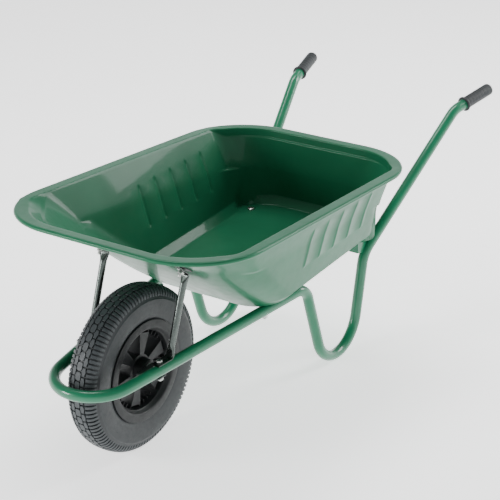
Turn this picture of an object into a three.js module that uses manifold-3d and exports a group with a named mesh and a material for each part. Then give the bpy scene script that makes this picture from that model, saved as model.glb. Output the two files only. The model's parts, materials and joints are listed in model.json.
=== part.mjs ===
// A builder's wheelbarrow: one bent tube carries a pressed steel tray, a pneumatic wheel and two grips.
// Millimetres, +Z up. +Y runs from the wheel to the grips, and +X is the left of the person who pushes.
// The parts are laid out from the axle (y = 0) and the ground (z = 0), and the finished barrow is then
// moved along Y until its footprint is centred on the origin.

import * as THREE from 'three';
import { mergeVertices } from 'three/addons/utils/BufferGeometryUtils.js';
import Module from 'manifold-3d';

const wasm = await Module();
wasm.setup();

// ---- Driving dimensions -----------------------------------------------------------------------------

const GAP = 0.3;                 // left between faces that touch
const TURNED_SIDES = 36;         // facets round the wheel

const WHEEL_RADIUS = 200;
const TYRE_HALF_WIDTH = 42;
const FLANGE_RADIUS = 123.5;     // edge of the plastic wheel centre
const HUB_HALF_WIDTH = 46;
const BEARING = { outer: 19.7, inner: 6.35, width: 12 };
const AXLE_RADIUS = 6;
const AXLE_HALF_LENGTH = 71;

const TUBE_RADIUS = 14;
const TUBE_WALL = 1.5;
const RAIL_SLOPE = 0.0372;       // rise of the lower rails, and of the tray floor, per mm of length
const RAIL_SPREAD = 0.137;       // widening of each rail per mm of length
const NOSE = { front: -219, bend: 97 };
const RAIL_AT_NOSE = { x: 98.7, y: -118, z: 239.8 };
const LEG = { x: 182, top: 452, front: 525.4, rear: 669.5, bend: 92, topBend: 45 };
const KINK = { x: 186, y: 720, z: 245, bend: 80 };
const HANDLE_BEND = { x: 251, y: 1075, z: 534, bend: 60 };
const HANDLE_END = { x: 280, y: 1214, z: 556 };
const GRIP = { length: 106, radius: 16, collarRadius: 20, collarWidth: 5, endWall: 5 };

const SHEET = 1.0;               // tray steel
const BEAD_RADIUS = 5.5;         // rolled edge of the tray
const FLOOR_Y = { front: 275, rear: 780 };
const CORNER_STEPS = 9;           // facets round each corner of the tray

const BOLT_RADIUS = 4;           // M8 throughout, on an M12 axle
const HEX = { m8: 7.5, m12: 10.4 };
const NUT_HEIGHT = { m8: 6.5, m12: 7 };
const TRAY_BOLTS = { front: { x: 157, y: 310 }, rear: { x: 170, y: 730 } };
const CLAMP_BOLT_Y = -38;        // bolt that clamps the stay foot and the axle bracket to the rail
const STAY = { radius: 8, x: 116, flatHalfWidth: 12.5, flatHalfThickness: 2.2, standoff: 6 };
const STAY_BOLT = { y: 58, z: 460 };   // where the stay's bolt passes through the tray's front wall
const FRONT_WALL_SLOPE = Math.atan(0.9);
const BRACKET = { inner: 56, thickness: 4, under: 3.5 };

// ---- Materials --------------------------------------------------------------------------------------

const finish = (color, roughness, metalness) => (
  new THREE.MeshStandardMaterial({ color, roughness, metalness }));
const MATERIALS = {
  paint: finish(0x0f6b4a, 0.25, 0.1),
  rubber: finish(0x33373a, 0.8, 0),
  plastic: finish(0x1d2022, 0.5, 0),
  grip: finish(0x2e3436, 0.7, 0),
  zinc: finish(0x9aa09c, 0.35, 0.9),
  blackSteel: finish(0x24282a, 0.5, 0.6),
};

// ---- Geometry helpers -------------------------------------------------------------------------------

const vec = (x, y, z) => new THREE.Vector3(x, y, z);
const railZ = (y) => RAIL_AT_NOSE.z + RAIL_SLOPE * (y - RAIL_AT_NOSE.y);
const railX = (y) => RAIL_AT_NOSE.x + RAIL_SPREAD * (y - RAIL_AT_NOSE.y);
const floorUnderside = (y) => railZ(y) + TUBE_RADIUS + GAP + 0.1;

// Turns a closed geometry's faces outward, if they face inward.
function outward(geometry) {
  const plain = geometry.index ? geometry.toNonIndexed() : geometry;
  const p = plain.attributes.position;
  const [a, b, c] = [vec(), vec(), vec()];
  let volume = 0;
  for (let i = 0; i < p.count; i += 3) {
    a.fromBufferAttribute(p, i);
    b.fromBufferAttribute(p, i + 1);
    c.fromBufferAttribute(p, i + 2);
    volume += a.dot(b.cross(c));
  }
  return volume < 0 ? flipped(plain) : plain;
}

function flipped(geometry) {
  const p = geometry.attributes.position;
  const turned = [];
  for (let i = 0; i < p.count; i += 3) {
    for (const k of [i, i + 2, i + 1]) turned.push(p.getX(k), p.getY(k), p.getZ(k));
  }
  return fromPositions(turned);
}

function fromPositions(numbers) {
  const geometry = new THREE.BufferGeometry();
  geometry.setAttribute('position', new THREE.Float32BufferAttribute(numbers, 3));
  geometry.computeVertexNormals();
  return geometry;
}

function mirrored(geometry) {
  return outward(geometry.clone().scale(-1, 1, 1));
}

function toSolid(geometry) {
  const bare = geometry.clone();
  bare.deleteAttribute('normal');
  bare.deleteAttribute('uv');
  const merged = mergeVertices(bare, 1e-4);
  return new wasm.Manifold(new wasm.Mesh({
    numProp: 3,
    vertProperties: new Float32Array(merged.attributes.position.array),
    triVerts: new Uint32Array(merged.index.array),
  }));
}

function toGeometry(solid) {
  const mesh = solid.getMesh();
  const numbers = [];
  for (const v of mesh.triVerts) {
    const at = v * mesh.numProp;
    numbers.push(mesh.vertProperties[at], mesh.vertProperties[at + 1], mesh.vertProperties[at + 2]);
  }
  return fromPositions(numbers);
}

const joined = (...parts) => toGeometry(parts.map(toSolid).reduce((whole, part) => whole.add(part)));
const cutBy = (body, tools) => (
  toGeometry(tools.map(toSolid).reduce((rest, tool) => rest.subtract(tool), toSolid(body))));

// Joins rings of equally many points into a closed skin. An open row of rings gets flat ends.
function loft(rings, loop = false) {
  const numbers = [];
  const triangle = (...corners) => corners.forEach((c) => numbers.push(c.x, c.y, c.z));
  const size = rings[0].length;
  const spans = loop ? rings.length : rings.length - 1;
  for (let i = 0; i < spans; i++) {
    const near = rings[i];
    const far = rings[(i + 1) % rings.length];
    for (let k = 0; k < size; k++) {
      const n = (k + 1) % size;
      triangle(near[k], near[n], far[n]);
      triangle(near[k], far[n], far[k]);
    }
  }
  if (!loop) {
    const [first, last] = [rings[0], rings[rings.length - 1]];
    for (let k = 1; k < size - 1; k++) {
      triangle(first[0], first[k + 1], first[k]);
      triangle(last[0], last[k], last[k + 1]);
    }
  }
  return outward(fromPositions(numbers));
}

// Points of the arc that rounds a corner.
function roundCorner(before, corner, after, radius, steps) {
  const into = corner.clone().sub(before).normalize();
  const out = after.clone().sub(corner).normalize();
  const turn = into.angleTo(out);
  const axis = into.clone().cross(out).normalize();
  const start = corner.clone().addScaledVector(into, -radius * Math.tan(turn / 2));
  const centre = start.clone().addScaledVector(axis.clone().cross(into), radius);
  const arm = start.sub(centre);
  return Array.from({ length: steps + 1 }, (_, k) => (
    arm.clone().applyAxisAngle(axis, (turn * k) / steps).add(centre)
  ));
}

// A path of straight runs with rounded corners: corners = [{ at, bend }], ends without a bend.
function bentPath(corners, stepAngle = 19) {
  const points = [];
  corners.forEach(({ at, bend }, i) => {
    if (!bend) {
      points.push(at.clone());
      return;
    }
    const [before, after] = [corners[i - 1].at, corners[i + 1].at];
    const turn = at.clone().sub(before).angleTo(after.clone().sub(at));
    const steps = Math.max(2, Math.ceil(THREE.MathUtils.radToDeg(turn) / stepAngle));
    points.push(...roundCorner(before, at, after, bend, steps));
  });
  return points;
}

// Places a flat section, a list of [side, up] pairs, square to the path at each of its points.
function sweepRings(path, side, sectionAt) {
  const across = side.clone();
  return path.map((point, i) => {
    const ahead = path[Math.min(i + 1, path.length - 1)];
    const behind = path[Math.max(i - 1, 0)];
    const incoming = point.clone().sub(behind).normalize();
    const tangent = ahead.clone().sub(point).normalize().add(incoming).normalize();
    across.addScaledVector(tangent, -across.dot(tangent)).normalize();
    const up = tangent.clone().cross(across);
    return sectionAt(i).map(([s, u]) => point.clone().addScaledVector(across, s).addScaledVector(up, u));
  });
}

const ellipse = (a, b, sides = 12) => Array.from({ length: sides }, (_, k) => {
  const angle = (2 * Math.PI * k) / sides;
  return [a * Math.cos(angle), b * Math.sin(angle)];
});

// A body turned about the X axis from [x, radius] pairs.
function turned(profile, segments, closed = true) {
  const points = profile.map(([x, radius]) => new THREE.Vector2(radius, x));
  if (closed) points.push(points[0].clone());
  return outward(new THREE.LatheGeometry(points, segments).rotateZ(-Math.PI / 2));
}

const ring = (from, to, inner, outer, segments) => turned(
  [[from, inner], [from, outer], [to, outer], [to, inner]], segments);

const rod = (from, to, radius, segments = 12) => (
  new THREE.CylinderGeometry(radius, radius, to - from, segments)
    .rotateZ(-Math.PI / 2).translate((from + to) / 2, 0, 0));

// A flat plate from its outline in the plane of two axes, thickened along the third.
function plate(outline, uAxis, vAxis, thickness) {
  const shape = new THREE.Shape(outline.map(([u, v]) => new THREE.Vector2(u, v)));
  const normal = uAxis.clone().cross(vAxis);
  const basis = new THREE.Matrix4().makeBasis(uAxis, vAxis, normal);
  return new THREE.ExtrudeGeometry(shape, { depth: thickness, bevelEnabled: false }).applyMatrix4(basis);
}

const AXIS = { x: vec(1, 0, 0), y: vec(0, 1, 0), z: vec(0, 0, 1) };

// ---- Fasteners, made along X with the head or nut starting at x = 0 ---------------------------------

const hexOutline = (radius) => Array.from({ length: 6 }, (_, k) => (
  [radius * Math.cos((k * Math.PI) / 3), radius * Math.sin((k * Math.PI) / 3)]));

const hexNut = (hex, height, bore) => cutBy(
  plate(hexOutline(hex), AXIS.y, AXIS.z, height), [rod(-1, height + 1, bore + GAP)]);

const hexBolt = (length) => joined(
  plate(hexOutline(HEX.m8), AXIS.y, AXIS.z, 5).translate(-5, 0, 0), rod(-1, length, BOLT_RADIUS));

const domedBolt = (length) => turned([
  [-3.6, 0], [-3, 4.5], [-1.6, 8], [0, 9.6], [0, BOLT_RADIUS], [length, BOLT_RADIUS], [length, 0],
], 12, false);

const flatWasher = (bore, outer, thickness) => ring(0, thickness, bore + GAP, outer, 16);

// ---- Frame tube -------------------------------------------------------------------------------------

const legFoot = (y) => vec(LEG.x, y, TUBE_RADIUS);
const leftRun = [
  { at: vec(railX(NOSE.front), NOSE.front, railZ(NOSE.front)), bend: NOSE.bend },
  { at: vec(LEG.x, LEG.top, railZ(LEG.top)), bend: LEG.topBend },
  { at: legFoot(LEG.front), bend: LEG.bend },
  { at: legFoot(LEG.rear), bend: LEG.bend },
  { at: vec(KINK.x, KINK.y, KINK.z), bend: KINK.bend },
  { at: vec(HANDLE_BEND.x, HANDLE_BEND.y, HANDLE_BEND.z), bend: HANDLE_BEND.bend },
];
const gripTip = vec(HANDLE_END.x, HANDLE_END.y, HANDLE_END.z);
const gripDirection = gripTip.clone().sub(leftRun[5].at).normalize();
const tubeEnd = gripTip.clone().addScaledVector(gripDirection, -GRIP.endWall - GAP);

const flipX = (point) => vec(-point.x, point.y, point.z);
const framePath = bentPath([
  { at: flipX(tubeEnd) },
  ...leftRun.map(({ at, bend }) => ({ at: flipX(at), bend })).reverse(),
  ...leftRun,
  { at: tubeEnd },
]);

const tubeRings = (radius) => sweepRings(framePath, AXIS.x, () => ellipse(radius, radius));

const throughHole = (x, y, from, to) => (
  rod(from, to, BOLT_RADIUS + GAP).rotateY(-Math.PI / 2).translate(x, y, 0));

function frameTube() {
  const inner = tubeRings(TUBE_RADIUS - TUBE_WALL).reverse();
  const body = loft([...tubeRings(TUBE_RADIUS), ...inner], true);
  const holes = [-1, 1].flatMap((side) => [
    throughHole(side * railX(CLAMP_BOLT_Y), CLAMP_BOLT_Y, 200, 300),
    throughHole(side * TRAY_BOLTS.front.x, TRAY_BOLTS.front.y, 200, 300),
  ]);
  return cutBy(body, holes);
}

// ---- Grips ------------------------------------------------------------------------------------------

function grip() {
  const { length, radius, collarRadius, collarWidth, endWall } = GRIP;
  const bore = TUBE_RADIUS + GAP;
  return turned([
    [0, bore], [0, collarRadius - 1], [1, collarRadius], [collarWidth, collarRadius],
    [collarWidth + 2, radius], [length - 4, radius], [length, radius - 4], [length, 0],
    [length - endWall, 0], [length - endWall, bore],
  ], 20);
}

// ---- Tray -------------------------------------------------------------------------------------------

// Each level is a rounded outline in plan whose height runs straight from its front to its rear.
// halfWidths and radii are given for the front and the rear. Under the rim the levels sink by drop
// at the ends and corners, but only by sideDrop along the two long sides.
const rimHeight = (y) => 559 - 0.0726 * (y + 109);
const rimLevel = (front, rear, halfWidths, radii, drop, sideDrop = drop) => (
  { front, rear, halfWidths, radii, height: (y) => rimHeight(y) - drop, sideRise: drop - sideDrop });
const floorLevel = (inset, rise, radius) => ({
  front: FLOOR_Y.front - 1.2 * inset,
  rear: FLOOR_Y.rear + inset,
  halfWidths: [189 + inset, 189 + inset],
  radii: [radius, radius],
  height: (y) => floorUnderside(y) + SHEET / 2 + rise,
  sideRise: 0,
});

const RIM = rimLevel(-109, 828, [324.5, 298.7], [177, 177], 0);
const LIP = rimLevel(-86, 805, [301.5, 275.7], [154, 154], 0);
const NECK_TOP = rimLevel(-82, 801, [300, 274.2], [160, 150], 4, 1.2);
const NECK_FOOT = rimLevel(-68, 799, [298.5, 272.7], [196, 146], 20, 3);
const CREASE = rimLevel(-61, 796, [297, 271.2], [204, 140], 24, 5);
const WALL_MIDDLE = {
  front: 52, rear: 791, halfWidths: [262, 234], radii: [122, 122],
  height: (y) => STAY_BOLT.z + 5.4 - 0.1 * (y - 52), sideRise: 0,
};
const WALL_FOOT = floorLevel(20, 20, 102);
const FLOOR = floorLevel(0, 0, 82);

// The ring of points along a level, moved out and up to lie on one face of the sheet.
function levelRing({ front, rear, halfWidths, radii, height, sideRise }, out, up) {
  const [halfFront, halfRear] = halfWidths.map((half) => half + out);
  const [frontRadius, rearRadius] = radii.map((radius) => radius + out);
  const ends = { front: front - out, rear: rear + out };
  const corners = [
    { at: vec(halfFront, ends.front, 0), radius: frontRadius },
    { at: vec(halfRear, ends.rear, 0), radius: rearRadius },
    { at: vec(-halfRear, ends.rear, 0), radius: rearRadius },
    { at: vec(-halfFront, ends.front, 0), radius: frontRadius },
  ];
  const sideX = (y) => halfFront + ((halfRear - halfFront) * (y - ends.front)) / (ends.rear - ends.front);
  return corners.flatMap(({ at, radius }, i) => {
    const arc = roundCorner(corners[(i + 3) % 4].at, at, corners[(i + 1) % 4].at, radius, CORNER_STEPS);
    return arc.map((p, k) => {
      const turn = (i % 2 ? k : CORNER_STEPS - k) / CORNER_STEPS;     // 0 on the long side, 1 on the end
      const onSide = sideRise ? 1 - THREE.MathUtils.smoothstep(turn, 0.16, 0.41) : 0;
      const x = THREE.MathUtils.lerp(Math.abs(p.x), sideX(p.y), onSide);
      return vec(Math.sign(p.x) * x, p.y, height(p.y) + sideRise * onSide + up);
    });
  });
}

function tray() {
  const h = SHEET / 2;
  const bead = [250, 310, 10, 60, 100].map((degrees) => {
    const angle = THREE.MathUtils.degToRad(degrees);
    return [RIM, BEAD_RADIUS * Math.cos(angle), BEAD_RADIUS * (Math.sin(angle) - 1) + h];
  });
  const section = [
    [FLOOR, 0, -h], [WALL_FOOT, h, 0], [WALL_MIDDLE, h, 0], [CREASE, h, 0],
    [NECK_FOOT, h, -h], [NECK_TOP, h, -h], [LIP, 0, -h], [RIM, -BEAD_RADIUS, -h],
    ...bead,
    [LIP, 0, h], [NECK_TOP, -h, h], [NECK_FOOT, -h, h], [CREASE, -h, 0], [WALL_MIDDLE, -h, 0],
    [WALL_FOOT, -h, 0], [FLOOR, 0, h],
  ];
  const body = loft(section.map(([level, out, up]) => levelRing(level, out, up)));
  const holes = [-1, 1].flatMap((side) => [
    throughHole(side * TRAY_BOLTS.front.x, TRAY_BOLTS.front.y, 255, 300),
    throughHole(side * TRAY_BOLTS.rear.x, TRAY_BOLTS.rear.y, 265, 310),
    ontoFrontWall(rod(-20, 20, BOLT_RADIUS + GAP), 0).translate(side * STAY.x, 0, 0),
  ]);
  return cutBy(body, holes);
}

// Turns a piece made along X square to the front wall, its +X end outside the tray.
function ontoFrontWall(geometry, distance) {
  const out = vec(0, -Math.sin(FRONT_WALL_SLOPE), -Math.cos(FRONT_WALL_SLOPE));
  const along = vec(0, -Math.cos(FRONT_WALL_SLOPE), Math.sin(FRONT_WALL_SLOPE));
  const basis = new THREE.Matrix4().makeBasis(out, along, out.clone().cross(along));
  return geometry.clone().applyMatrix4(basis)
    .translate(0, STAY_BOLT.y, STAY_BOLT.z).translate(...out.multiplyScalar(distance));
}

// ---- Rear bearer: an angle across the frame that the tray's rear rests on -----------------------------

function rearBearer() {
  const [front, rear, halfWidth, thickness, foot] = [690, 741, 188, 3, 256];
  const top = (y) => floorUnderside(y) - GAP;
  const angle = plate([
    [front, foot], [front + thickness, foot], [front + thickness, top(front + thickness) - thickness],
    [rear, top(rear) - thickness], [rear, top(rear)], [front, top(front)],
  ], AXIS.y, AXIS.z, 2 * halfWidth).translate(-halfWidth, 0, 0);
  const saddle = plate([
    [front + 1, foot], [rear - 12, foot - 8], [rear, top(rear) - 1], [front + 1, top(front) - 1],
  ], AXIS.y, AXIS.z, thickness);
  const saddles = [-1, 1].map((side) => (
    saddle.clone().translate(side * (KINK.x + 0.5) - thickness / 2, 0, 0)));
  const whole = joined(angle, ...saddles);
  const cuts = [-1, 1].map((side) => throughHole(side * TRAY_BOLTS.rear.x, TRAY_BOLTS.rear.y, 265, 310));
  return cutBy(whole, [loft(tubeRings(TUBE_RADIUS + GAP)), ...cuts]);
}

// ---- Stays and axle brackets ------------------------------------------------------------------------

const clampPoint = vec(railX(CLAMP_BOLT_Y), CLAMP_BOLT_Y, railZ(CLAMP_BOLT_Y));

function stay() {
  const flat = [STAY.flatHalfWidth, STAY.flatHalfThickness];
  const round = [STAY.radius, STAY.radius];
  const between = [(flat[0] + round[0]) / 2, (flat[1] + round[1]) / 2];
  const footZ = (y) => railZ(y) + TUBE_RADIUS + STAY.flatHalfThickness + GAP;
  const foot = (y) => vec(railX(y), y, footZ(y));
  const tabDistance = STAY.standoff + STAY.flatHalfThickness;
  const out = [-Math.sin(FRONT_WALL_SLOPE) * tabDistance, -Math.cos(FRONT_WALL_SLOPE) * tabDistance];
  const tab = (s) => vec(STAY.x, STAY_BOLT.y + out[0] - s * Math.cos(FRONT_WALL_SLOPE),
    STAY_BOLT.z + out[1] + s * Math.sin(FRONT_WALL_SLOPE));
  const [low, high] = [foot(-6), tab(-18)];
  const lerp = (t) => low.clone().lerp(high, t);
  const path = bentPath([
    { at: foot(CLAMP_BOLT_Y - 13) }, { at: low, bend: 9 }, { at: lerp(0.09) }, { at: lerp(0.17) },
    { at: lerp(0.85) }, { at: lerp(0.93) }, { at: high, bend: 9 }, { at: tab(13) },
  ], 25);
  const reach = low.distanceTo(high);
  const sizeAt = (point) => {
    const t = point.clone().sub(low).dot(high.clone().sub(low)) / reach ** 2;
    if (t < 0.08 || t > 0.94) return flat;
    return t < 0.16 || t > 0.86 ? between : round;
  };
  const body = loft(sweepRings(path, AXIS.x, (i) => ellipse(...sizeAt(path[i]))));
  const footHole = throughHole(clampPoint.x, clampPoint.y, 240, 290);
  const tabHole = ontoFrontWall(rod(-5, 25, BOLT_RADIUS + GAP), 0).translate(STAY.x, 0, 0);
  return cutBy(body, [footHole, tabHole]);
}

// The bracket hangs the axle inboard of the rail: a plate under the rail, turned down beside the hub.
function axleBracket() {
  const top = clampPoint.z - TUBE_RADIUS - GAP - 1.2;
  const { inner, thickness, under } = BRACKET;
  const leg = plate([
    [-58, top], [-58, top - 12], [-16, 186], [-8, 181], [8, 181], [16, 186], [20, 200], [20, top],
  ], AXIS.y, AXIS.z, thickness).translate(inner, 0, 0);
  const flange = plate([
    [inner + 1, -58], [clampPoint.x + 2, -58], [clampPoint.x + 8, -50], [clampPoint.x + 8, -26],
    [clampPoint.x, -16], [inner + 1, 20],
  ], AXIS.x, AXIS.y, under).translate(0, 0, top - under);
  const holes = [
    rod(inner - 5, inner + 10, AXLE_RADIUS + GAP, 16).translate(0, 0, WHEEL_RADIUS),
    throughHole(clampPoint.x, clampPoint.y, 200, 240),
  ];
  return cutBy(joined(leg, flange), holes);
}

// ---- Wheel, made about the X axis ---------------------------------------------------------------------

function tyre() {
  const w = TYRE_HALF_WIDTH;
  const r = WHEEL_RADIUS;
  const outer = [[0, r], [14, r - 0.4], [27, r - 4], [37, r - 15], [w, r - 35], [41, 142], [36.5, 124.5]];
  const inner = [[33, 112], [27, 110], [27, 118], [35, 132], [37.5, 160], [28, r - 17], [0, r - 8.5]];
  const half = [...outer, ...inner];
  const other = half.slice(1, -1).reverse().map(([x, r]) => [-x, r]);
  return turned([...half, ...other], TURNED_SIDES);
}

function innerTube(valveAngle) {
  const section = (a, b) => ellipse(a, b, 8).map(([x, r]) => [x, 154 + r]);
  const skin = toSolid(turned(section(33, 33), 24));
  const air = toSolid(turned(section(30.5, 30.5), 24));
  const hole = toSolid(rod(100, 135, 3, 8).rotateY(-Math.PI / 2).rotateX(valveAngle));
  return toGeometry(skin.subtract(air).subtract(hole));
}

function wheelCentre(valveAngle, spokeAngle) {
  const half = [
    [HUB_HALF_WIDTH, 20], [HUB_HALF_WIDTH, 29], [16, 33], [14, 90], [30, 97], [40, 108],
    [41, FLANGE_RADIUS], [37.5, FLANGE_RADIUS], [36, 109.7], [26, 106.5], [12, 98],
  ];
  const other = half.slice().reverse().map(([x, r]) => [-x, r]);
  const blank = turned([...half, ...other], TURNED_SIDES);
  const windows = Array.from({ length: 6 }, (_, k) => {
    const angle = spokeAngle + (k + 0.5) * (Math.PI / 3);
    return plate([[-5, 42], [5, 42], [28, 84], [14, 89], [-14, 89], [-28, 84]], AXIS.y, AXIS.z, 80)
      .translate(-40, 0, 0).rotateX(angle);
  });
  const valveHole = rod(60, 130, 5, 12).rotateY(-Math.PI / 2).rotateX(valveAngle);
  return cutBy(blank, [...windows, valveHole]);
}

// ---- Assembly ---------------------------------------------------------------------------------------

const barrow = new THREE.Group();

function add(name, geometry, material, position = [0, 0, 0], rotation = [0, 0, 0], parent = barrow) {
  const mesh = new THREE.Mesh(geometry, MATERIALS[material]);
  mesh.name = name;
  mesh.position.set(...position);
  mesh.rotation.set(...rotation);
  parent.add(mesh);
}

const DOWN = [0, Math.PI / 2, 0];        // turns a fastener made along +X to point down
const SIDES = [['left', 1], ['right', -1]];

add('tray', tray(), 'paint');
add('frame_tube', frameTube(), 'paint');
add('rear_bearer', rearBearer(), 'paint');

for (const [side, sign] of SIDES) {
  const handle = new THREE.Group();
  const start = gripTip.clone().addScaledVector(gripDirection, -GRIP.length);
  handle.position.set(sign * start.x, start.y, start.z);
  handle.quaternion.setFromUnitVectors(AXIS.x, vec(sign * gripDirection.x, gripDirection.y, gripDirection.z));
  barrow.add(handle);
  add(`grip_${side}`, grip(), 'grip', undefined, undefined, handle);
}

const wheel = new THREE.Group();
wheel.position.z = WHEEL_RADIUS;
barrow.add(wheel);
const VALVE_ANGLE = THREE.MathUtils.degToRad(75);
const SPOKE_ANGLE = THREE.MathUtils.degToRad(44);
add('tyre', tyre(), 'rubber', undefined, undefined, wheel);
add('inner_tube', innerTube(VALVE_ANGLE), 'rubber', undefined, undefined, wheel);
add('wheel_centre', wheelCentre(VALVE_ANGLE, SPOKE_ANGLE), 'plastic', undefined, undefined, wheel);
const valve = new THREE.Group();
valve.rotation.x = VALVE_ANGLE;
wheel.add(valve);
const OUTWARD = [0, -Math.PI / 2, 0];
add('valve_stem', rod(84, 128, 2.6), 'blackSteel', undefined, OUTWARD, valve);
add('valve_cap', ring(76, 88, 3, 4.2, 10), 'plastic', undefined, OUTWARD, valve);
add('axle', rod(-AXLE_HALF_LENGTH, AXLE_HALF_LENGTH, AXLE_RADIUS, 20), 'zinc', undefined, undefined, wheel);

for (const [side, sign] of SIDES) {
  const axleEnd = new THREE.Group();
  axleEnd.rotation.z = sign > 0 ? 0 : Math.PI;
  wheel.add(axleEnd);
  const { outer, inner, width } = BEARING;
  const legOut = BRACKET.inner + BRACKET.thickness;
  add(`wheel_bearing_${side}`, ring(HUB_HALF_WIDTH - width, HUB_HALF_WIDTH, inner, outer, 24),
    'zinc', undefined, undefined, axleEnd);
  add(`axle_spacer_${side}`, ring(HUB_HALF_WIDTH + GAP, BRACKET.inner - GAP, AXLE_RADIUS + GAP, 9, 20),
    'zinc', undefined, undefined, axleEnd);
  add(`axle_washer_${side}`, flatWasher(AXLE_RADIUS, 12, 2), 'zinc',
    [legOut + GAP, 0, 0], undefined, axleEnd);
  add(`axle_nut_${side}`, hexNut(HEX.m12, NUT_HEIGHT.m12, AXLE_RADIUS), 'zinc',
    [legOut + 2 * GAP + 2, 0, 0], undefined, axleEnd);

  const bracket = axleBracket();
  add(`axle_bracket_${side}`, sign > 0 ? bracket : mirrored(bracket), 'blackSteel');
  const brace = stay();
  add(`stay_${side}`, sign > 0 ? brace : mirrored(brace), 'zinc');

  const clampX = sign * clampPoint.x;
  const clampTop = clampPoint.z + TUBE_RADIUS + 2 * STAY.flatHalfThickness + 2 * GAP;
  const bracketFoot = clampPoint.z - TUBE_RADIUS - GAP - 1.2 - BRACKET.under;
  add(`clamp_bolt_${side}`, hexBolt(clampTop - bracketFoot + NUT_HEIGHT.m8 + 3), 'zinc',
    [clampX, CLAMP_BOLT_Y, clampTop], DOWN);
  add(`clamp_nut_${side}`, hexNut(HEX.m8, NUT_HEIGHT.m8, BOLT_RADIUS), 'zinc',
    [clampX, CLAMP_BOLT_Y, bracketFoot - GAP], DOWN);

  const wallPlate = cutBy(plate([[-12, -22], [12, -22], [12, 22], [-12, 22]], AXIS.y, AXIS.z, 2.5),
    [rod(-5, 10, BOLT_RADIUS + GAP)]);
  const tabOuter = STAY.standoff + 2 * STAY.flatHalfThickness;
  const stayX = [sign * STAY.x, 0, 0];
  add(`stay_plate_${side}`, ontoFrontWall(wallPlate, 2), 'blackSteel', stayX);
  add(`stay_bolt_${side}`, ontoFrontWall(domedBolt(26), -1.6), 'zinc', stayX);
  add(`stay_nut_${side}`, ontoFrontWall(hexNut(HEX.m8, NUT_HEIGHT.m8, BOLT_RADIUS), tabOuter + GAP),
    'zinc', stayX);
}

// Bolts that hold the tray down, through the rails at the front and the bearer at the rear. They stand
// upright on the sloping floor, so their heads and washers clear it by a little more than the gap.
const TILT_ROOM = GAP + 10 * RAIL_SLOPE;
for (const [side, sign] of SIDES) {
  for (const [end, { x, y }] of Object.entries(TRAY_BOLTS)) {
    const floorTop = floorUnderside(y) + SHEET + TILT_ROOM;
    const under = end === 'front' ? railZ(y) - TUBE_RADIUS - GAP : floorUnderside(y) - 3 - GAP - TILT_ROOM;
    const washer = 1.6;
    const at = (z) => [sign * x, y, z];
    add(`tray_bolt_${end}_${side}`, domedBolt(floorTop - under + washer + NUT_HEIGHT.m8 + 4), 'zinc',
      at(floorTop), DOWN);
    add(`tray_washer_${end}_${side}`, flatWasher(BOLT_RADIUS, 8.5, washer), 'zinc', at(under), DOWN);
    add(`tray_nut_${end}_${side}`, hexNut(HEX.m8, NUT_HEIGHT.m8, BOLT_RADIUS), 'zinc',
      at(under - washer - GAP), DOWN);
  }
}

barrow.updateMatrixWorld(true);
const box = new THREE.Box3().setFromObject(barrow, true);
barrow.position.y = -(box.min.y + box.max.y) / 2;
barrow.updateMatrixWorld(true);

export default barrow;
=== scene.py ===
"""A builder's wheelbarrow: the finished surfaces and materials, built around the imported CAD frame.

Shapes are laid out in millimetres from the axle (y = 0) and the ground (z = 0), as the part's design is,
and place() turns them into the frame's metres.
"""

import json
import math

import bmesh
import bpy
import numpy as np
from mathutils import Matrix, Vector


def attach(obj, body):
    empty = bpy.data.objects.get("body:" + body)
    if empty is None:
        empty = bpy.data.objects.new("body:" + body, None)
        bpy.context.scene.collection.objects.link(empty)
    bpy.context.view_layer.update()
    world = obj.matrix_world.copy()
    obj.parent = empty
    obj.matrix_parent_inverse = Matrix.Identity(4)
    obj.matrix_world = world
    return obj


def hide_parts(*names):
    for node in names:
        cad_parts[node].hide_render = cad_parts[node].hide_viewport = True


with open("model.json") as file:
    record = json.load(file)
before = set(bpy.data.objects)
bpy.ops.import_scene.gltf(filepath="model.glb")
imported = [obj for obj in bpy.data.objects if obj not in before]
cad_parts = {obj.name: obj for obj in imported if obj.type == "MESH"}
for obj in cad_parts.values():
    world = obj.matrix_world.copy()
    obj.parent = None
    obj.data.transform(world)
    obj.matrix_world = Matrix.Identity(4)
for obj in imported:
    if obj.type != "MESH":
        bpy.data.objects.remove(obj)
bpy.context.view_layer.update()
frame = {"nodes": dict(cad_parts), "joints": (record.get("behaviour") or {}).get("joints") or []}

MM = 0.001
AXLE = Vector(frame["joints"][0]["pos_m"])
X, Y, Z = Vector((1, 0, 0)), Vector((0, 1, 0)), Vector((0, 0, 1))
SIDES = (("left", 1), ("right", -1))

# ---- Sizes shared with the design ----

GAP = 0.3
WHEEL_RADIUS = 200
HUB_HALF_WIDTH = 46
BEARING = {"outer": 19.7, "inner": 6.35, "width": 12}
AXLE_RADIUS = 6
AXLE_HALF_LENGTH = 71
VALVE_ANGLE = math.radians(75)
SPOKE_ANGLE = math.radians(44)

TUBE_RADIUS = 14
TUBE_SKIN_RADIUS = 13.75      # the facets of the CAD tube dip this far, and the skin stays inside them
RAIL_SLOPE = 0.0372
RAIL_SPREAD = 0.137
RAIL_AT_NOSE = Vector((98.7, -118, 239.8))
NOSE_FRONT = -219
CLAMP_BOLT_Y = -38
GRIP_LENGTH = 106
GRIP_END_WALL = 5

SHEET = 1.0
BEAD_RADIUS = 5.5
TRAY_BOLTS = {"front": (157, 310), "rear": (170, 730)}
STAY_X = 116
STAY_RADIUS = 8
STAY_FLAT = (12.5, 2.2)
STAY_BOLT = Vector((0, 58, 460))
FRONT_WALL_SLOPE = math.atan(0.9)
BRACKET = {"inner": 56, "thickness": 4, "under": 3.5}
M8 = {"radius": 4, "hex": 7.5, "nut": 6.5, "point": 3.1, "washer_bore": 4.3, "washer": 8.5}
M12 = {"radius": 6, "hex": 10.4, "nut": 7}
WASHER = 1.6
NEAR_AXIS = 0.01              # the outline of a turned body stops this far from its axis


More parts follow.
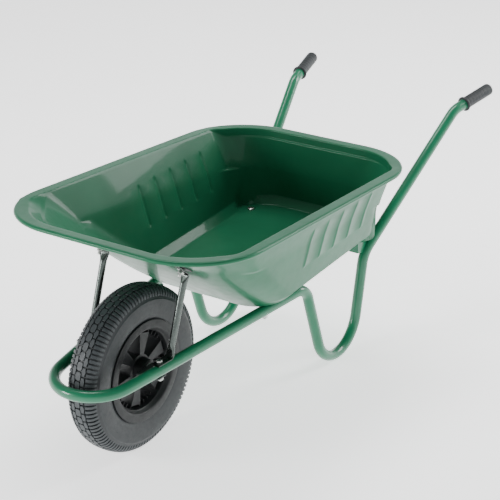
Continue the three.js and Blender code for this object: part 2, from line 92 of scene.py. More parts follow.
def rail_z(y):
    return RAIL_AT_NOSE.z + RAIL_SLOPE * (y - RAIL_AT_NOSE.y)


def rail_x(y):
    return RAIL_AT_NOSE.x + RAIL_SPREAD * (y - RAIL_AT_NOSE.y)


def floor_underside(y):
    return rail_z(y) + TUBE_RADIUS + GAP + 0.1


def place(point):
    """A point in the layout's millimetres, as a point in the frame's metres."""
    return Vector((point[0] * MM, AXLE.y + point[1] * MM, point[2] * MM))


# ---- Materials ----


class Nodes:
    """Builds one material's node tree around a Principled shader."""

    def __init__(self, name, **constants):
        self.material = bpy.data.materials.new(name)
        self.material.use_nodes = True
        self.tree = self.material.node_tree
        self.shader = self.tree.nodes["Principled BSDF"]
        for socket, value in constants.items():
            self.shader.inputs[socket.replace("_", " ")].default_value = value
        self.place = self.add("ShaderNodeTexCoord").outputs["Object"]

    def add(self, kind, inputs=None, **settings):
        node = self.tree.nodes.new(kind)
        for setting, value in settings.items():
            setattr(node, setting, value)
        for socket, value in (inputs or {}).items():
            self.feed(node.inputs[socket], value)
        return node

    def feed(self, socket, value):
        if isinstance(value, bpy.types.NodeSocket):
            self.tree.links.new(value, socket)
        else:
            socket.default_value = value

    def noise(self, scale, detail=3.0, stretch=(1, 1, 1)):
        mapped = self.add("ShaderNodeMapping", {"Vector": self.place, "Scale": stretch})
        node = self.add("ShaderNodeTexNoise", {
            "Vector": mapped.outputs[0], "Scale": scale, "Detail": detail})
        return node.outputs["Fac"]

    def cells(self, scale):
        node = self.add("ShaderNodeTexVoronoi", {"Vector": self.place, "Scale": scale})
        return node.outputs["Color"]

    def between(self, value, low, high, from_low=0.3, from_high=0.7):
        """Maps a texture's value to a range, for roughness and the like."""
        node = self.add("ShaderNodeMapRange", {
            "Value": value, "From Min": from_low, "From Max": from_high, "To Min": low, "To Max": high})
        return node.outputs[0]

    def blend(self, factor, dark, light):
        """Mixes two colours, given as RGB or as a socket."""
        node = self.add("ShaderNodeMix", data_type="RGBA")
        self.feed(node.inputs["Factor"], factor)
        for socket, colour in zip((node.inputs[6], node.inputs[7]), (dark, light)):
            self.feed(socket, colour if isinstance(colour, bpy.types.NodeSocket) else (*colour, 1))
        return node.outputs[2]

    def edges(self, low, high):
        """Near 1 on outward edges, where handling rubs a surface."""
        geometry = self.add("ShaderNodeNewGeometry")
        return self.between(geometry.outputs["Pointiness"], 0, 1, low, high)

    def bumps(self, *layers):
        """Stacks (height, distance in metres, strength) layers of bump into the normal."""
        normal = None
        for height, distance, strength in layers:
            node = self.add("ShaderNodeBump", {
                "Height": height, "Distance": distance, "Strength": strength})
            if normal is not None:
                self.tree.links.new(normal, node.inputs["Normal"])
            normal = node.outputs[0]
        self.tree.links.new(normal, self.shader.inputs["Normal"])

    def finish(self, colour, roughness):
        self.feed(self.shader.inputs["Base Color"], colour)
        self.feed(self.shader.inputs["Roughness"], roughness)
        return self.material


def green_paint(name, deep, bright, coat, specular):
    """Glossy powder coat: slight orange peel over a sheet that isn't perfectly flat."""
    n = Nodes(name, Coat_Weight=coat, Coat_Roughness=0.04, Coat_IOR=1.4, Specular_IOR_Level=specular)
    colour = n.blend(n.between(n.noise(7, 2), 0, 1), deep, bright)
    n.bumps((n.noise(7, 1), 0.0012, 0.3), (n.noise(240, 2), 0.00005, 0.12))
    return n.finish(colour, n.between(n.noise(40, 3), 0.3, 0.38))


def rubber(name, dark, light, roughness=(0.55, 0.75)):
    """Moulded rubber with a fine grain and a little grey bloom."""
    n = Nodes(name, Specular_IOR_Level=0.42)
    colour = n.blend(n.between(n.noise(22, 5), 0, 1), dark, light)
    dusty = n.blend(n.edges(0.5, 0.58), colour, tuple(1.6 * c for c in light))
    n.bumps((n.noise(900, 3), 0.0002, 0.35), (n.noise(60, 2), 0.0004, 0.15))
    return n.finish(dusty, n.between(n.noise(130, 3), *roughness))


def moulded_plastic(name, dark, light, roughness=(0.4, 0.55)):
    """Injection moulding with a fine spark-eroded grain."""
    n = Nodes(name, Specular_IOR_Level=0.35)
    colour = n.blend(n.between(n.noise(30, 3), 0, 1), dark, light)
    scuffed = n.blend(n.edges(0.52, 0.64), colour, tuple(1.7 * c for c in light))
    n.bumps((n.noise(1400, 2), 0.00015, 0.5))
    return n.finish(scuffed, n.between(n.noise(90, 3), *roughness))


def metal(name, dark, light, roughness, stretch=(1, 1, 1)):
    """Plated or ground steel with a blotchy or drawn grain."""
    n = Nodes(name, Metallic=1.0)
    blotch = n.blend(0.5, n.noise(70, 5), n.cells(260))
    colour = n.blend(n.between(blotch, 0, 1), dark, light)
    n.bumps((n.noise(500, 3, stretch), 0.0001, 0.2))
    return n.finish(colour, n.between(n.noise(120, 4, stretch), *roughness))


GREEN_TRAY = green_paint("tray_paint", (0.009, 0.1, 0.046), (0.012, 0.12, 0.056), 0.2, 0.12)
GREEN_FRAME = green_paint("frame_paint", (0.006, 0.13, 0.06), (0.009, 0.155, 0.072), 0.7, 0.25)
TYRE_RUBBER = rubber("tyre_rubber", (0.0135, 0.016, 0.018), (0.022, 0.026, 0.028), (0.42, 0.56))
TUBE_RUBBER = rubber("tube_rubber", (0.012, 0.012, 0.012), (0.022, 0.022, 0.022))
WHEEL_PLASTIC = moulded_plastic("wheel_plastic", (0.007, 0.008, 0.009), (0.01, 0.011, 0.012))
GRIP_PLASTIC = moulded_plastic("grip_plastic", (0.011, 0.014, 0.016), (0.018, 0.022, 0.024),
                               (0.42, 0.52))
ZINC = metal("zinc", (0.36, 0.38, 0.36), (0.56, 0.58, 0.55), (0.22, 0.4))
# Painted shade: the stays' zinc gets a base colour far darker than the other zinc, so the stays read dark as
# in shade and dark reflections.
STAY_ZINC_PAINTED_SHADE = metal("stay_zinc_painted_shade", (0.075, 0.088, 0.082), (0.1, 0.115, 0.107), (0.2, 0.25), (6, 6, 1))
BLACK_STEEL = moulded_plastic("black_steel", (0.022, 0.028, 0.028), (0.035, 0.042, 0.04),
                              (0.3, 0.45))
BEARING_STEEL = metal("bearing_steel", (0.45, 0.45, 0.45), (0.6, 0.6, 0.6), (0.15, 0.3))
BRASS = metal("valve_brass", (0.4, 0.3, 0.14), (0.55, 0.43, 0.22), (0.25, 0.4))

# ---- Mesh helpers ----


def around(x, radius, angle):
    """A point x along the X axis and at an angle round it."""
    return Vector((x, radius * math.cos(angle), radius * math.sin(angle)))


def flip_x(point):
    return Vector((-point[0], point[1], point[2]))


class Shell:
    """Collects points (in the layout's millimetres) and faces for one piece."""

    def __init__(self):
        self.points = []
        self.faces = []

    def add_points(self, points):
        start = len(self.points)
        self.points.extend(points)
        return list(range(start, len(self.points)))

    def loft(self, rings, loop=False, caps=True):
        """Joins rings of equally many points; an open row of rings gets flat ends."""
        rows = [self.add_points(ring) for ring in rings]
        spans = list(zip(rows, rows[1:] + rows[:1] if loop else rows[1:]))
        for near, far in spans:
            for a, b, c, d in zip(near, near[1:] + near[:1], far[1:] + far[:1], far):
                self.faces.append((a, b, c, d))
        if caps and not loop:
            self.faces.append(tuple(reversed(rows[0])))
            self.faces.append(tuple(rows[-1]))

    def turn(self, profile, segments, basis):
        """A closed body turned about the X axis of basis, from its closed outline of (x, radius)."""
        rings = []
        for k in range(segments):
            angle = 2 * math.pi * k / segments
            rings.append([basis @ around(x, r, angle) for x, r in profile])
        self.loft(rings, loop=True)

    def prism(self, outline, start, end, basis):
        """A flat plate from its outline in the YZ plane of basis, from x = start to x = end."""
        self.loft([[basis @ Vector((x, u, v)) for u, v in outline] for x in (start, end)])


def build(name, shell, material, body, replaces=(), sharp=35, bevel=0.0, bevel_segments=2):
    """One finished piece, on its body and in place of its CAD node."""
    mesh = bpy.data.meshes.new(name)
    mesh.from_pydata([place(p) for p in shell.points], [], shell.faces)
    piece = bpy.data.objects.new(name, mesh)
    bpy.context.scene.collection.objects.link(piece)
    mesh.materials.append(material)
    tidy_mesh(mesh, sharp)
    if bevel:
        modifier = piece.modifiers.new("edges", "BEVEL")
        modifier.width = bevel * MM
        modifier.segments = bevel_segments
        modifier.limit_method = "ANGLE"
        modifier.angle_limit = math.radians(sharp)
        modifier.harden_normals = True
    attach(piece, body)
    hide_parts(*replaces)
    return piece


def tidy_mesh(mesh, sharp):
    """Merges doubled points, faces every body outward and smooths all but the sharp edges."""
    work = bmesh.new()
    work.from_mesh(mesh)
    bmesh.ops.remove_doubles(work, verts=work.verts, dist=1e-6)
    bmesh.ops.dissolve_degenerate(work, edges=work.edges, dist=1e-7)
    bmesh.ops.recalc_face_normals(work, faces=work.faces)
    work.to_mesh(mesh)
    work.free()
    mesh.shade_smooth()
    mesh.set_sharp_from_angle(angle=math.radians(sharp))


def axes(origin, along, side=Z):
    """A basis at origin whose X axis points along, with its Y axis as near to side as it can be."""
    x = Vector(along).normalized()
    y = (Vector(side) - x * x.dot(side)).normalized()
    z = x.cross(y)
    return Matrix.Translation(origin) @ Matrix((x, y, z)).transposed().to_4x4()


def round_corner(before, corner, after, radius, step):
    """Points along the arc that rounds a corner, about one every step degrees."""
    into = (corner - before).normalized()
    out = (after - corner).normalized()
    turn = into.angle(out)
    axis = into.cross(out).normalized()
    start = corner - into * radius * math.tan(turn / 2)
    centre = start + axis.cross(into) * radius
    count = max(2, math.ceil(math.degrees(turn) / step))
    return [centre + Matrix.Rotation(turn * k / count, 3, axis) @ (start - centre)
            for k in range(count + 1)]


def bent_path(corners, step=4.5):
    """A path through (point, bend radius) corners; its ends have no bend."""
    path = []
    for i, (point, bend) in enumerate(corners):
        if bend:
            path += round_corner(corners[i - 1][0], point, corners[i + 1][0], bend, step)
        else:
            path.append(point.copy())
    return path


def sweep(path, side, section_at):
    """Rings square to a path; section_at(i) gives the [side, up] points of ring i."""
    rings = []
    across = side.copy()
    for i, point in enumerate(path):
        ahead = path[min(i + 1, len(path) - 1)] - point
        behind = point - path[max(i - 1, 0)]
        tangent = sum((v.normalized() for v in (ahead, behind) if v.length > 0), Vector())
        tangent.normalize()
        across = (across - tangent * across.dot(tangent)).normalized()
        up = tangent.cross(across)
        rings.append([point + across * s + up * u for s, u in section_at(i)])
    return rings


def ellipse(a, b, sides=36, squareness=1.0):
    """An ellipse, or with squareness under 1 a fuller shape like a flattened tube."""
    points = []
    for k in range(sides):
        angle = 2 * math.pi * k / sides
        c, s = math.cos(angle), math.sin(angle)
        points.append((a * math.copysign(abs(c) ** squareness, c),
                       b * math.copysign(abs(s) ** squareness, s)))
    return points


def mirrored(shell):
    """The same shell on the other side, still facing outward."""
    other = Shell()
    other.points = [flip_x(p) for p in shell.points]
    other.faces = [tuple(reversed(f)) for f in shell.faces]
    return other


# ---- Frame tube ----

GRIP_TIP = Vector((280, 1214, 556))
LEFT_RUN = [
    (Vector((rail_x(NOSE_FRONT), NOSE_FRONT, rail_z(NOSE_FRONT))), 97),
    (Vector((182, 452, rail_z(452))), 45),
    (Vector((182, 525.4, TUBE_RADIUS)), 92),
    (Vector((182, 669.5, TUBE_RADIUS)), 92),
    (Vector((186, 720, 245)), 80),
    (Vector((251, 1075, 534)), 60),
]
GRIP_DIRECTION = (GRIP_TIP - LEFT_RUN[-1][0]).normalized()
TUBE_END = GRIP_TIP - GRIP_DIRECTION * (GRIP_END_WALL + GAP)


def frame_path():
    left = LEFT_RUN + [(TUBE_END, 0)]
    right = [(flip_x(point), bend) for point, bend in reversed(left)]
    return bent_path(right + left)


def frame_tube():
    path = frame_path()
    shell = Shell()
    shell.loft(sweep(path, X, lambda i: ellipse(TUBE_SKIN_RADIUS, TUBE_SKIN_RADIUS, 40)))
    build("frame_tube_skin", shell, GREEN_FRAME, "frame", ["frame_tube"])


# ---- Tray ----

# A level is a rounded outline in plan whose height runs straight along the tray: front and rear y,
# half widths there, corner radii there, height at y = 0, rise per mm, and how much higher the level
# stands along the two long sides.
LONG_SIDE = {"full": 0.16, "gone": 0.41}      # share of a corner's turn over which that height fades out
FRONT_Y, FRONT_HALF_WIDTH, HEIGHT = 0, 2, 6   # where a level keeps these
RIM_FRONT, RIM_FRONT_HEIGHT, RIM_SLOPE = -109, 559, -0.0726
FLOOR_FRONT, FLOOR_REAR, FLOOR_HALF_WIDTH = 275, 780, 189
FRONT_SPREAD = 1.2            # the front wall leans more than the others, and spreads this much faster


def rim_level(front, rear, half_widths, radii, drop, side_drop=None):
    """A level that runs with the rim, drop mm under it and side_drop mm under it on the long sides."""
    side_rise = 0 if side_drop is None else drop - side_drop
    height = RIM_FRONT_HEIGHT - RIM_SLOPE * RIM_FRONT - drop
    return np.array([front, rear, *half_widths, *radii, height, RIM_SLOPE, side_rise], float)


def floor_level(spread, rise, radius):
    """A level that runs with the floor, spread mm wider all round and rise mm above it."""
    height = floor_underside(0) + SHEET / 2 + rise
    half_width = FLOOR_HALF_WIDTH + spread
    return np.array([FLOOR_FRONT - FRONT_SPREAD * spread, FLOOR_REAR + spread, half_width, half_width,
                     radius, radius, height, RAIL_SLOPE, 0])


def raised(level, by):
    return level + np.array([0, 0, 0, 0, 0, 0, by, 0, 0])


def grown(level, by):
    return level + np.array([-by, by, by, by, by, by, 0, 0, 0])


RIM = rim_level(RIM_FRONT, 828, (324.5, 298.7), (177, 177), 0)
NECK_TOP = rim_level(-82, 801, (300, 274.2), (160, 150), 1, 0.2)
NECK_FOOT = rim_level(-68, 799, (298.5, 272.7), (196, 146), 20, 2.5)
CREASE = rim_level(-61, 796, (297, 271.2), (204, 140), 24, 5)
WALL_MIDDLE = np.array([52, 791, 262, 234, 122, 122, STAY_BOLT.z + 10.6, -0.1, 0])
WALL_FOOT = floor_level(20, 20, 102)
FLOOR = floor_level(0, 0, 82)
FLOOR_INSETS = (45, 30, 15)

BEND_STEPS = 6
MOST_OF_SPAN = 0.48           # a bend takes at most this share of the span on either side of it
CURL_CLEARANCE = 0.15
CURL_DEGREES = range(75, -196, -15)      # the rolled edge: from just past its top, outward and under

RIB_PLACES = [375 + 65 * k for k in range(5)]
RIB = {"low": 362, "high": 455, "half_width": 6.5, "depth": 1.9, "fullness": 0.6, "walls_from_x": 150}
RIB_STATIONS = (-6.5, -4.8, -2.8, 0, 2.8, 4.8, 6.5)
RIB_STOPS = [y + d for y in RIB_PLACES for d in RIB_STATIONS]
PAD = {"radius": 36, "blend": 5}

CORNER_STEPS = 26
END_STEPS = 24
SIDE_STEPS = {"front": 14, "rear": 4}


def spacing(first, last):
    """About the distance between two levels, from how far front, side and height move."""
    front_and_side_overlap = 1.2
    gaps = [(last - first)[i] for i in (FRONT_Y, FRONT_HALF_WIDTH, HEIGHT)]
    return math.sqrt(sum(g * g for g in gaps)) / front_and_side_overlap


def profile_levels():
    """Levels from the floor's middle to the curled edge, with each bend rounded."""
    levels = [floor_level(-inset, 0, 82 - inset) for inset in FLOOR_INSETS]
    keys = [(levels[-1], 0, 0), (FLOOR, 4, 2), (WALL_FOOT, 4, 4), (WALL_MIDDLE, 20, 40), (CREASE, 1.8, 14),
            (NECK_FOOT, 1.5, 3), (NECK_TOP, 2.5, 6), (RIM, 0, 5)]
    previous_end = levels[-1]
    for (before, _, _), (here, bend, rows), (after, _, _) in zip(keys, keys[1:], keys[2:]):
        back = min(MOST_OF_SPAN, bend / spacing(before, here))
        ahead = min(MOST_OF_SPAN, bend / spacing(here, after))
        start = here + (before - here) * back
        end = here + (after - here) * ahead
        levels += [previous_end + (start - previous_end) * k / rows for k in range(1, rows + 1)]
        for k in range(1, BEND_STEPS + 1):
            t = k / BEND_STEPS
            levels.append(start * (1 - t) ** 2 + here * 2 * t * (1 - t) + end * t * t)
        previous_end = end
    rows = keys[-1][2]
    levels += [previous_end + (RIM - previous_end) * k / rows for k in range(1, rows + 1)]
    curl = BEAD_RADIUS - SHEET / 2 - CURL_CLEARANCE
    for degrees in CURL_DEGREES:
        angle = math.radians(degrees)
        levels.append(raised(grown(RIM, curl * math.cos(angle)), curl * (math.sin(angle) - 1)))
    return levels


def rib_depth(y, z):
    """How far a rib stands out of the side wall here."""
    depth = 0.0
    for place_y in RIB_PLACES:
        beyond = max(RIB["low"] - z, 0, z - RIB["high"])
        reach = math.hypot(y - place_y, beyond) / RIB["half_width"]
        if reach < 1:
            depth = RIB["depth"] * (0.5 + 0.5 * math.cos(math.pi * reach)) ** RIB["fullness"]
    return depth


def pad_height(x, y, z):
    """Flattens the round seat of each rear bolt into the corner fillet."""
    bolt_x, bolt_y = TRAY_BOLTS["rear"]
    distance = math.hypot(abs(x) - bolt_x, y - bolt_y)
    share = smooth_step(PAD["radius"], PAD["radius"] + PAD["blend"], distance)
    seat = floor_underside(y) + SHEET / 2
    return seat + (z - seat) * share if z > seat else z


def level_ring(level):
    """The points round one level, with the ribs and the bolts' seats worked in."""
    front, rear, half_front, half_rear, front_radius, rear_radius, height, slope, side_rise = (
        float(value) for value in level)
    corners = [Vector((half_front, front)), Vector((half_rear, rear)),
               Vector((-half_rear, rear)), Vector((-half_front, front))]
    radii = [front_radius, rear_radius, rear_radius, front_radius]
    arcs = []
    for i, (corner, radius) in enumerate(zip(corners, radii)):
        into = (corner - corners[i - 1]).normalized()
        out = (corners[(i + 1) % 4] - corner).normalized()
        turn = into.angle(out)
        start = corner - into * radius * math.tan(turn / 2)
        inward = Vector((-into.y, into.x))
        centre = start + inward * radius
        first = math.atan2(-inward.y, -inward.x)
        arc = []
        for k in range(CORNER_STEPS + 1):
            angle = first + turn * k / CORNER_STEPS
            from_side = (k if i % 2 else CORNER_STEPS - k) / CORNER_STEPS
            on_side = 0
            if side_rise > 0:
                on_side = 1 - smooth_step(LONG_SIDE["full"], LONG_SIDE["gone"], from_side)
            x, y = centre + radius * Vector((math.cos(angle), math.sin(angle)))
            side_x = half_front + (half_rear - half_front) * (y - front) / (rear - front)
            arc.append(Vector((x + (math.copysign(side_x, x) - x) * on_side, y, side_rise * on_side)))
        arcs.append(arc)
    outline = []
    for i, arc in enumerate(arcs):
        outline += arc
        outline += straight_stops(arc[-1], arcs[(i + 1) % 4][0], side=i % 2 == 0)
    ring = []
    for x, y, rise in outline:
        z = height + slope * y + rise
        x += math.copysign(rib_depth(y, z), x) if abs(x) > RIB["walls_from_x"] else 0
        ring.append(Vector((x, y, pad_height(x, y, z))))
    return ring


def smooth_step(start, end, value):
    share = min(1, max(0, (value - start) / (end - start)))
    return share * share * (3 - 2 * share)


def straight_stops(start, end, side):
    """Points between two corners: evenly spaced across the ends, set out round the ribs on the sides."""
    if not side:
        return [start.lerp(end, k / END_STEPS) for k in range(1, END_STEPS)]
    lead_steps, tail_steps = SIDE_STEPS["front"], SIDE_STEPS["rear"]
    stops = RIB_STOPS if end.y > start.y else RIB_STOPS[::-1]
    along = [(y - start.y) / (end.y - start.y) for y in stops]
    lead = [along[0] * k / lead_steps for k in range(1, lead_steps)]
    tail = [along[-1] + (1 - along[-1]) * k / tail_steps for k in range(1, tail_steps)]
    return [start.lerp(end, t) for t in lead + along + tail]


def tray():
    rings = [level_ring(level) for level in profile_levels()]
    shell = Shell()
    shell.loft(rings, caps=False)
    shell.faces.append(tuple(range(len(rings[0]))))
    piece = build("tray_pressing", shell, GREEN_TRAY, "frame", ["tray"], sharp=60)
    sheet = piece.modifiers.new("sheet", "SOLIDIFY")
    sheet.thickness = SHEET * MM
    sheet.offset = 0


# ---- Turned pieces: fasteners, grips, wheel ----


def thread_outline(start, end, radius, pitch=1.25, depth=0.45):
    """The saw-toothed outline of a screw thread, as (x, radius) from start to end."""
    turns = int((end - start) / pitch)
    points = []
    for k in range(turns):
        x = start + k * pitch
        points += [(x, radius - depth), (x + pitch / 2, radius)]
    return points + [(end, radius - depth)]


def nut_rings(basis, hexagon, height, bore):
    """Rings round a hexagon with chamfered corners, from x = 0: up its outside, then down its bore."""
    chamfer, corner_cut, countersink, lead = 0.9, 0.2, 0.5, 0.6
    sides = 36
    flat = hexagon * math.cos(math.pi / 6)
    levels = [(0, bore + countersink), (0, flat - corner_cut), (chamfer, None), (height - chamfer, None),
              (height, flat - corner_cut), (height, bore + countersink), (height - lead, bore), (lead, bore)]
    rings = []
    for x, radius in levels:
        ring = []
        for k in range(sides):
            angle = 2 * math.pi * k / sides
            from_flat = angle % (math.pi / 3) - math.pi / 6
            r = flat / math.cos(from_flat) if radius is None else radius
            ring.append(basis @ around(x, r, angle))
        rings.append(ring)
    return rings


def nut(name, basis, size):
    """A hexagon nut from x = 0, bored just clear of its bolt."""
    shell = Shell()
    shell.loft(nut_rings(basis, size["hex"], size["nut"], size["radius"] + 0.05), loop=True)
    build(name + "_turned", shell, ZINC, "frame", [name], sharp=28)


def washer(name, basis, bore, outer, thickness):
    edge = 0.3
    shell = Shell()
    shell.turn([(0, bore), (0, outer - edge), (edge, outer), (thickness - edge, outer),
                (thickness, outer - edge), (thickness, bore)], 48, basis)
    build(name + "_turned", shell, ZINC, "frame", [name])


def domed_bolt(name, basis, length):
    """A cup-head bolt: smooth dome at x < 0, threaded shank along +X."""
    height, radius = 3.6, 9.6
    dome = [(-height * math.cos(a), radius * math.sin(a))
            for a in np.linspace(0.02, math.pi / 2 - 0.12, 9)]
    shank = [(0, radius), (0, M8["radius"])] + thread_outline(0.5, length - 1, M8["radius"])
    tip = [(length, M8["point"]), (length, NEAR_AXIS)]
    shell = Shell()
    shell.turn([(-height, NEAR_AXIS)] + dome + shank + tip, 32, basis)
    build(name + "_turned", shell, ZINC, "frame", [name], sharp=30)


def hex_bolt(name, basis, length):
    """A hexagon head at x < 0, and a shank along +X whose end is threaded."""
    head_height, recess, in_head, threaded = 5, 2.5, 0.2, 22
    outside_rings = 6
    shell = Shell()
    head = nut_rings(basis @ Matrix.Translation((-head_height, 0, 0)), M8["hex"], head_height, recess)
    shell.loft(head[:outside_rings])
    shank = [(-in_head, NEAR_AXIS), (-in_head, M8["radius"])]
    shank += thread_outline(length - threaded, length - 1, M8["radius"])
    shell.turn(shank + [(length, M8["point"]), (length, NEAR_AXIS)], 32, basis)
    build(name + "_turned", shell, ZINC, "frame", [name], sharp=28)


def grip(side, sign):
    """A moulded grip: a collar at its inner end, a fluted barrel and a rounded tip."""
    direction = Vector((sign * GRIP_DIRECTION.x, GRIP_DIRECTION.y, GRIP_DIRECTION.z))
    tip = Vector((sign * GRIP_TIP.x, GRIP_TIP.y, GRIP_TIP.z))
    basis = axes(tip - direction * GRIP_LENGTH, direction)
    bore = TUBE_RADIUS + 0.1
    outline = [(0, bore), (0, 18.6), (0.4, 19.5), (1.2, 20), (3.6, 20), (4.6, 19.5), (5.2, 18.2),
               (6.4, 16.6), (8.5, 15.8), (11, 15.4)]
    first_flute = len(outline)
    outline += [(x, 15.7) for x in np.linspace(12.5, GRIP_LENGTH - 9, 44)]
    last_flute = len(outline)
    outline += [(GRIP_LENGTH - 7, 15.5), (GRIP_LENGTH - 4.5, 15.8), (GRIP_LENGTH - 2, 14.8),
                (GRIP_LENGTH - 0.5, 13), (GRIP_LENGTH, 11.5), (GRIP_LENGTH, NEAR_AXIS),
                (GRIP_LENGTH - GRIP_END_WALL, NEAR_AXIS), (GRIP_LENGTH - GRIP_END_WALL, bore)]
    segments, flutes, barrel_radius = 144, 24, 16
    rings_per_band = 6        # five on a fluted band, then one in the groove after it
    band_rise, groove_drop, flute_height = 0.3, 0.35, 0.45
    rings = []
    for k in range(segments):
        angle = 2 * math.pi * k / segments
        ring = []
        for i, (x, r) in enumerate(outline):
            if first_flute <= i < last_flute:
                band = (i - first_flute) % rings_per_band < rings_per_band - 1
                r += band_rise + flute_height * math.cos(flutes * angle) if band else -groove_drop
            if i >= first_flute:
                r = min(r, barrel_radius)
            ring.append(basis @ around(x, r, angle))
        rings.append(ring)
    shell = Shell()
    shell.loft(rings, loop=True)
    build(f"grip_moulding_{side}", shell, GRIP_PLASTIC, "frame", [f"grip_{side}"], sharp=40)


# ---- Tyre ----

WHEEL_BASIS = Matrix.Translation((0, 0, WHEEL_RADIUS))
TREAD_PITCHES = 56
TREAD_DEPTH = 4.2
TREAD_STEP = 57               # the tread ends in a small step this far down the sidewall
TREAD_THINNING = 26           # and thins out over this length before it
SKIN_DROP = 0.6               # between the blocks, the tyre lies this much deeper than the tread is high
BLOCKS_FROM_CROWN = 13.2      # middle of the second rows
LUG = {"start": 20.8, "length": 38, "share_of_pitch": 0.34, "stations": 9, "edge": 0.6, "taper": 0.12}


class TreadProfile:
    """The tyre's outside from the crown to the bead: a place t mm along it gives x, radius and normal."""

    def __init__(self):
        corners = [(0, 200), (12, 199.7), (24, 197), (33.5, 190), (39.5, 178), (41.8, 165), (41.6, 148),
                   (39.4, 132), (36.4, 124.6)]
        dense = []
        steps_per_corner = 14
        padded = [(-12, 199.7)] + corners + [(34, 121)]
        for a, b, c, d in zip(padded, padded[1:], padded[2:], padded[3:]):
            for k in range(steps_per_corner):
                dense.append(catmull(a, b, c, d, k / steps_per_corner))
        self.points = np.array(dense)
        steps = np.hypot(*np.diff(self.points, axis=0).T)
        self.lengths = np.concatenate([[0], np.cumsum(steps)])

    def at(self, t):
        side = -1 if t < 0 else 1
        t = abs(t)
        x = np.interp(t, self.lengths, self.points[:, 0])
        r = np.interp(t, self.lengths, self.points[:, 1])
        ahead = [np.interp(t + 1, self.lengths, self.points[:, i]) for i in (0, 1)]
        back = [np.interp(max(t - 1, 0), self.lengths, self.points[:, i]) for i in (0, 1)]
        along = Vector((ahead[0] - back[0], ahead[1] - back[1])).normalized()
        return side * x, r, Vector((-side * along.y, along.x))


def catmull(a, b, c, d, t):
    """A smooth curve through b and c."""
    return tuple(0.5 * (2 * q + (r - p) * t + (2 * p - 5 * q + 4 * r - s) * t ** 2
                        + (3 * q - p - 3 * r + s) * t ** 3) for p, q, r, s in zip(a, b, c, d))


TREAD = TreadProfile()


def tread_point(angle, t, depth):
    """A point at an angle round the wheel, t mm across from the crown and depth mm under the surface."""
    x, r, normal = TREAD.at(t)
    return WHEEL_BASIS @ around(x - normal.x * depth, r - normal.y * depth, angle)


def tread_block(shell, angle, t, outline):
    """One block from its outline of (mm round, mm across), with softened top edges."""
    sink, chamfer = TREAD_DEPTH + SKIN_DROP, 0.5
    centre = Vector((sum(p[0] for p in outline), sum(p[1] for p in outline))) / len(outline)
    rings = []
    for depth, inset in ((sink, 0), (chamfer, 0), (0, chamfer)):
        ring = []
        for u, v in outline:
            offset = Vector((u, v)) - centre
            offset *= max(0, 1 - inset / offset.length)
            ring.append(tread_point(angle + (centre.x + offset.x) / WHEEL_RADIUS,
                                    t + centre.y + offset.y, depth))
        rings.append(ring)
    shell.loft(rings)


def shoulder_lug(shell, angle, side, width):
    """A lug across the shoulder that fades into the sidewall."""
    level_share, fading_share = 0.45, 0.55
    root, edge = TREAD_DEPTH + 0.8, LUG["edge"]
    rings = []
    for i in range(LUG["stations"]):
        share = i / (LUG["stations"] - 1)
        t = side * (LUG["start"] + LUG["length"] * share)
        fade = TREAD_DEPTH * max(0, (share - level_share) / fading_share) ** 1.5
        half = width / 2 * (1 - LUG["taper"] * share)
        section = [(-half, root), (-half, fade + edge), (-half + edge, fade), (half - edge, fade),
                   (half, fade + edge), (half, root)]
        rings.append([tread_point(angle + u / WHEEL_RADIUS, t, depth) for u, depth in section])
    shell.loft(rings)


def tyre_outline():
    """The tyre's cross-section without its tread, as a closed outline of (x, radius)."""
    half = []
    bead, spacing_along = TREAD.lengths[-1] - 4, 1.5
    for t in np.arange(0, bead, spacing_along):
        x, r, normal = TREAD.at(t)
        depth = 0
        if t < TREAD_STEP:
            depth = TREAD_DEPTH * min(1, (TREAD_STEP - t) / TREAD_THINNING) ** 0.8 + SKIN_DROP
        half.append((x - normal.x * depth, r - normal.y * depth))
    inner = [(36.2, 124.2), (33, 112), (27, 110), (27, 118), (35, 132), (37, 160), (28, 183), (12, 190)]
    return half + inner


def tyre():
    half = tyre_outline()
    other = [(-x, r) for x, r in reversed(half[1:])]
    shell = Shell()
    shell.turn(half + other, 240, WHEEL_BASIS)
    pitch = 2 * math.pi / TREAD_PITCHES
    across = WHEEL_RADIUS * pitch
    crown = [(-0.43, -4), (-0.3, -7), (0.3, -7), (0.43, -4), (0.43, 4), (0.3, 7), (-0.3, 7), (-0.43, 4)]
    zigzag = [(-0.43, -3.6), (0.0, -5.4), (0.43, -3.6), (0.43, 3.4), (0.0, 5.2), (-0.43, 3.4)]
    for k in range(TREAD_PITCHES):
        angle = k * pitch
        tread_block(shell, angle, 0, [(u * across, v) for u, v in crown])
        for side in (-1, 1):
            row = [(u * across, side * v) for u, v in zigzag]
            tread_block(shell, angle + pitch / 2, side * BLOCKS_FROM_CROWN, row)
            for quarter in (0.25, 0.75):
                shoulder_lug(shell, angle + pitch * quarter, side, across * LUG["share_of_pitch"])
    add_pips(shell)
    build("tyre_with_tread", shell, TYRE_RUBBER, "wheel", ["tyre"], sharp=30)


def add_pips(shell):
    """Moulding pips round both sidewalls, in two staggered rows."""
    count = 14
    pip = [(-0.6, NEAR_AXIS), (-0.6, 1.2), (0.5, 1.1), (0.9, 0.6), (0.9, NEAR_AXIS)]
    for side in (-1, 1):
        for k in range(count):
            for t, stagger in ((60, 0), (72, 0.12)):
                x, r, normal = TREAD.at(side * t)
                angle = 2 * math.pi * (k + 0.3) / count + stagger
                out = around(normal.x, normal.y, angle)
                shell.turn(pip, 10, WHEEL_BASIS @ axes(around(x, r, angle), out, X.cross(out)))


# ---- Wheel centre ----

SPOKES = 6
RING_RIB_DEGREES = (-9, 0, 9)


